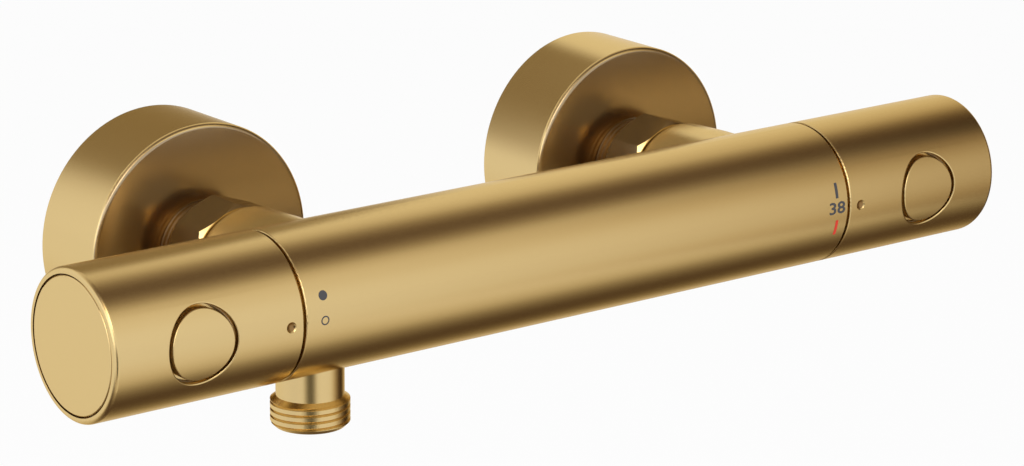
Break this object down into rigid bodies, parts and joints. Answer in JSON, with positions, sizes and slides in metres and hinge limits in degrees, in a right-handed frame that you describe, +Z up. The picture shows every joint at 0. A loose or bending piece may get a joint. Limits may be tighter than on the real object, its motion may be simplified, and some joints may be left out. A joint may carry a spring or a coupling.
{
  "type": "thermostatic shower mixer",
  "caption": "Round bar shower mixer with a temperature handle, a flow handle, push buttons, eccentric wall unions under escutcheons and a threaded outlet.",
  "frame": {"origin": "on the finished wall, midway between the two wall threads", "axes": "+X along the bar towards the temperature handle, +Y into the wall, +Z up"},
  "size_m": [0.2996, 0.117, 0.0688],
  "materials": {
    "brushed_gold": "satin",
    "raw_brass": "satin",
    "black_plastic": "matte",
    "white_plastic": "matte",
    "seal_rubber": "matte",
    "ceramic": "satin",
    "spring_steel": "satin"
  },
  "bodies": {
    "mixer": {"mixer_body": "brushed_gold", "outlet_nipple": "brushed_gold", "hot_escutcheon": "brushed_gold", "cold_escutcheon": "brushed_gold", "hot_union_nut": "brushed_gold", "cold_union_nut": "brushed_gold", "hot_union": "raw_brass", "cold_union": "raw_brass", "ring_nut": "raw_brass", "headpart_housing": "raw_brass", "cartridge_housing": "black_plastic", "hot_check_housing": "white_plastic", "cold_check_housing": "white_plastic", "flow_stop_ring": "white_plastic", "temperature_stop_ring": "white_plastic", "cartridge_seals": "seal_rubber", "inlet_washers": "seal_rubber", "headpart_seal": "seal_rubber", "fixed_disc": "ceramic", "retaining_rings": "spring_steel", "strainers": "spring_steel", "return_spring": "spring_steel", "hot_check_spring": "spring_steel", "cold_check_spring": "spring_steel", "flow_button_spring": "spring_steel", "temperature_button_spring": "spring_steel"},
    "flow_handle": {"flow_handle": "brushed_gold", "flow_carrier": "black_plastic", "flow_cap": "brushed_gold", "flow_screw": "spring_steel", "headpart_spindle": "raw_brass", "moving_disc": "ceramic"},
    "temperature_handle": {"temperature_handle": "brushed_gold", "temperature_carrier": "black_plastic", "temperature_cap": "brushed_gold", "temperature_screw": "spring_steel", "cartridge_spindle": "raw_brass"},
    "flow_button": {"flow_button": "brushed_gold"},
    "temperature_button": {"temperature_button": "brushed_gold"},
    "regulator": {"adjuster": "white_plastic", "piston_cap": "white_plastic", "overtravel_spring": "spring_steel", "wax_element": "raw_brass", "shuttle": "white_plastic"},
    "hot_poppet": {"hot_check_poppet": "white_plastic"},
    "cold_poppet": {"cold_check_poppet": "white_plastic"}
  },
  "joints": [
    {"name": "flow_turn", "type": "hinge", "parent": "mixer", "child": "flow_handle", "pos_m": [-0.12, -0.079, 0.0075], "axis": [-1, 0, 0], "range_deg": [0, 180]},
    {"name": "temperature_turn", "type": "hinge", "parent": "mixer", "child": "temperature_handle", "pos_m": [0.12, -0.079, 0.0075], "axis": [1, 0, 0], "range_deg": [-190, 80]},
    {"name": "regulator_slide", "type": "slide", "parent": "mixer", "child": "regulator", "axis": [1, 0, 0], "range_m": [-0.00108, 0.00046], "deforming": ["return_spring"]},
    {"name": "flow_button_press", "type": "slide", "parent": "flow_handle", "child": "flow_button", "axis": [0, 1, 0], "range_m": [0, 0.0022], "stiffness_N_per_m": 600, "springref_m": -0.002, "deforming": ["flow_button_spring"]},
    {"name": "temperature_button_press", "type": "slide", "parent": "temperature_handle", "child": "temperature_button", "axis": [0, 1, 0], "range_m": [0, 0.0022], "stiffness_N_per_m": 600, "springref_m": -0.002, "deforming": ["temperature_button_spring"]},
    {"name": "hot_check_open", "type": "slide", "parent": "mixer", "child": "hot_poppet", "axis": [0, -1, 0], "range_m": [0, 0.003], "stiffness_N_per_m": 120, "springref_m": -0.003, "deforming": ["hot_check_spring"]},
    {"name": "cold_check_open", "type": "slide", "parent": "mixer", "child": "cold_poppet", "axis": [0, -1, 0], "range_m": [0, 0.003], "stiffness_N_per_m": 120, "springref_m": -0.003, "deforming": ["cold_check_spring"]}
  ],
  "couplings": [
    {"joint": "regulator_slide", "follows": "temperature_turn", "m_per_rad": 0.00031831}
  ]
}
